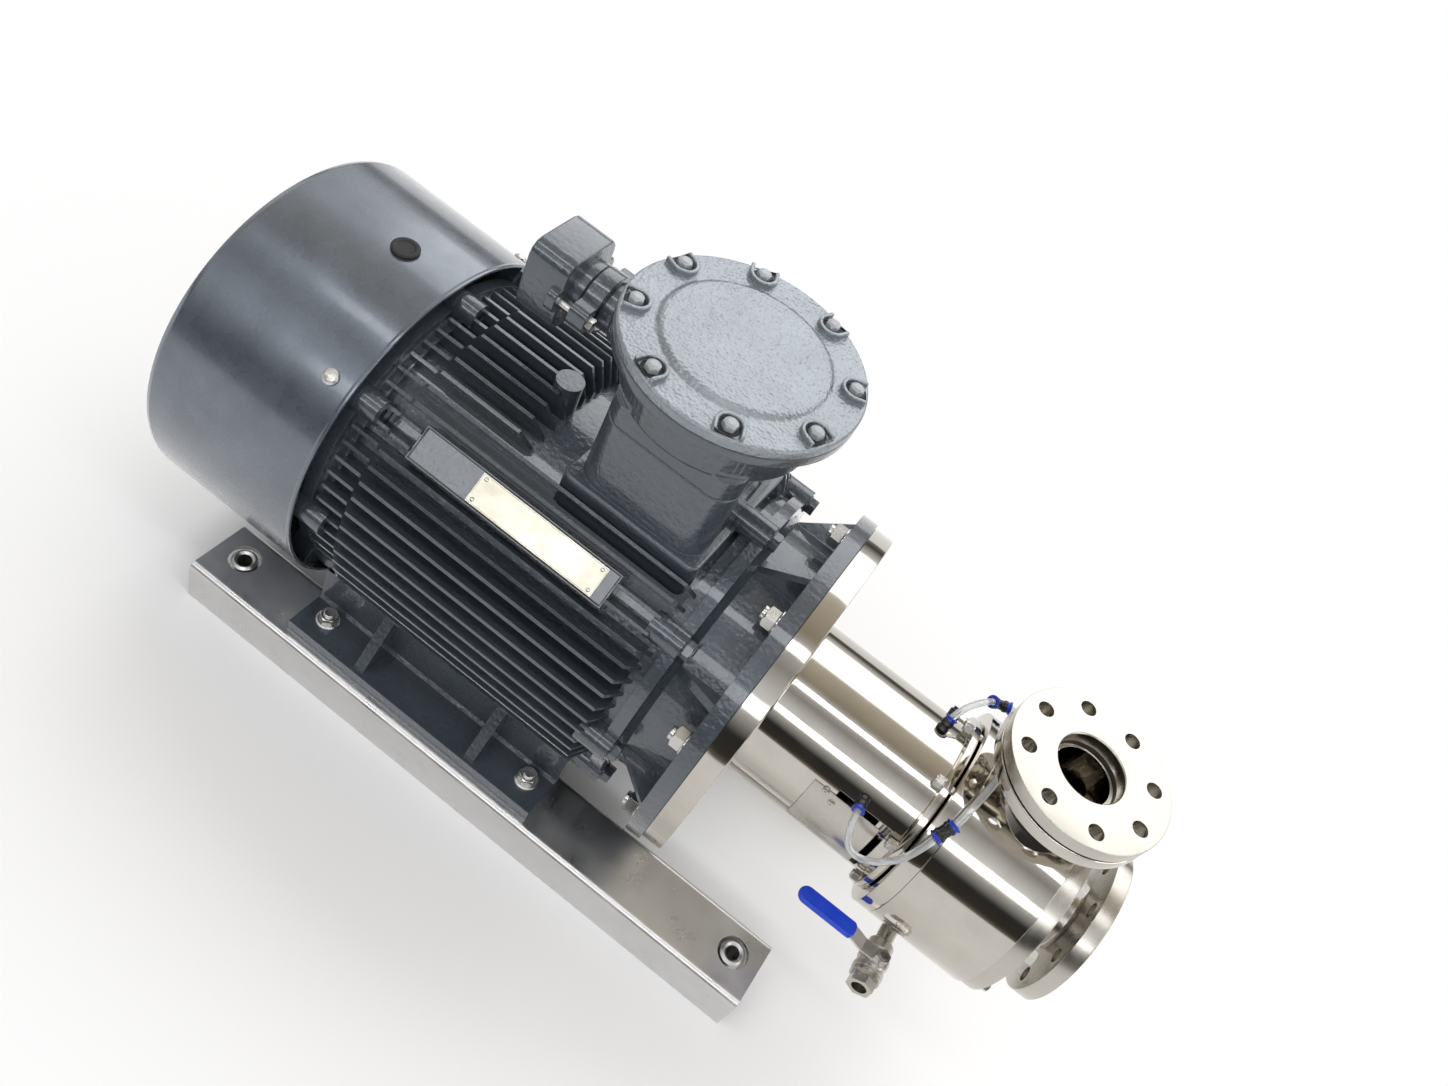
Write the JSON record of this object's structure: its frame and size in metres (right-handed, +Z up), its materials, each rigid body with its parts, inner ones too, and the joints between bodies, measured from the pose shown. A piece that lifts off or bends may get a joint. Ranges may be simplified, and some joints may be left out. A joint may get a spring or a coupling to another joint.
{
  "type": "emulsifying pump",
  "caption": "Inline high-shear emulsifying pump: finned flange motor on two rails, stainless lantern and rotor-stator head, end inlet, upward flanged outlet and drain valve.",
  "frame": {"origin": "on the floor, at the centre of the four anchor holes of the base rails", "axes": "+X along the shaft from the fan to the pump inlet, +Y to the side away from the drain valve, +Z up"},
  "size_m": [1.161, 0.45, 0.68],
  "materials": {
    "motor_enamel": "dark blue-grey enamel on cast iron",
    "cowl_enamel": "satin grey enamel on sheet steel",
    "cover_enamel": "lighter grey hammered enamel",
    "polished_stainless": "mirror polished stainless steel",
    "machined_stainless": "turned stainless steel",
    "brushed_stainless": "brushed stainless sheet",
    "zinc_steel": "bright zinc plated fasteners",
    "bearing_steel": "ground bearing steel",
    "core_steel": "laminated electrical steel",
    "cast_aluminium": "die-cast aluminium",
    "copper_winding": "varnished copper wire",
    "nameplate_metal": "etched metal plate, bare",
    "black_rubber": "black rubber",
    "black_plastic": "black moulded plastic",
    "blue_vinyl": "blue dipped vinyl",
    "blue_plastic": "blue moulded plastic",
    "clear_hose": "clear polyurethane tube",
    "seal_ceramic": "lapped seal face"
  },
  "bodies": {
    "root": {"anchor_tubes": "brushed_stainless", "base_rails": "brushed_stainless", "bearing_outer_rings": "bearing_steel", "cable_gland": "motor_enamel", "casing": "polished_stainless", "casing_front_bolts": "zinc_steel", "casing_front_plate": "polished_stainless", "casing_rear_plate": "polished_stainless", "cover_bolts": "cover_enamel", "cowl_plug": "black_rubber", "cowl_screws": "zinc_steel", "drain_pipe": "machined_stainless", "fan_cowl": "cowl_enamel", "fitting_collars": "blue_plastic", "flange_bolts": "zinc_steel", "foot_bolts": "zinc_steel", "front_end_shield": "motor_enamel", "gland_clamp": "motor_enamel", "gland_clamp_bolts": "zinc_steel", "hose_fittings": "black_plastic", "lantern": "polished_stainless", "lantern_studs": "zinc_steel", "motor_feet": "motor_enamel", "motor_frame": "motor_enamel", "nameplate": "nameplate_metal", "outlet_companion_flange": "machined_stainless", "outlet_gasket": "black_rubber", "rear_end_shield": "motor_enamel", "seal_chamber": "polished_stainless", "seal_hose_back": "clear_hose", "seal_hose_over": "clear_hose", "seal_hose_port": "clear_hose", "seal_seat": "seal_ceramic", "shield_bolts": "motor_enamel", "stator_core": "core_steel", "stator_ring": "machined_stainless", "stator_windings": "copper_winding", "terminal_block": "black_plastic", "terminal_box_body": "motor_enamel", "terminal_box_cover": "cover_enamel", "valve_body": "machined_stainless", "valve_end": "machined_stainless", "window_guard": "brushed_stainless"},
    "rotor": {"motor_shaft": "machined_stainless", "shaft_key": "zinc_steel", "rotor_core": "cast_aluminium", "cooling_fan": "black_plastic", "bearing_inner_rings": "bearing_steel", "coupling_sleeve": "machined_stainless", "coupling_screws": "zinc_steel", "pump_shaft": "machined_stainless", "seal_ring": "seal_ceramic", "seal_bellows": "black_rubber", "rotor_head": "machined_stainless", "rotor_nut": "machined_stainless"},
    "drain_lever": {"valve_lever": "brushed_stainless", "lever_sleeve": "blue_vinyl", "lever_nut": "zinc_steel", "valve_stem": "machined_stainless", "valve_ball": "polished_stainless"}
  },
  "joints": [
    {"name": "rotor_spin", "type": "hinge", "parent": "root", "child": "rotor", "pos_m": [0, 0, 0.29], "axis": [1, 0, 0], "continuous": true},
    {"name": "drain_turn", "type": "hinge", "parent": "root", "child": "drain_lever", "pos_m": [0.508, -0.138, 0.177], "axis": [0, 0, 1], "range_deg": [0, 90]}
  ]
}
